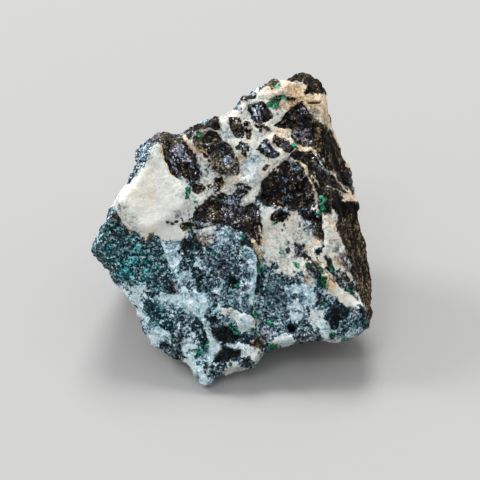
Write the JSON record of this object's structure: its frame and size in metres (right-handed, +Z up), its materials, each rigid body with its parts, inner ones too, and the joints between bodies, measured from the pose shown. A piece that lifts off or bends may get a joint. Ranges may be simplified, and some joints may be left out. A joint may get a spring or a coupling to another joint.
{
  "type": "galena ore specimen",
  "caption": "Broken block of lead ore: dark metallic galena crystals in milky and bluish quartz, with a brown weathered rind and green stains, resting on its underside.",
  "frame": {"origin": "centre of the block's bounding box in plan, on the surface it rests on", "axes": "+Z up, +Y towards the hidden back, -Y towards the leaning broken front, +X to the right as the front is seen"},
  "size_m": [0.0816, 0.07, 0.0732],
  "materials": {
    "ore": "rough broken stone with glinting metallic crystals"
  },
  "bodies": {
    "root": {"ore_block": "ore"}
  },
  "joints": []
}
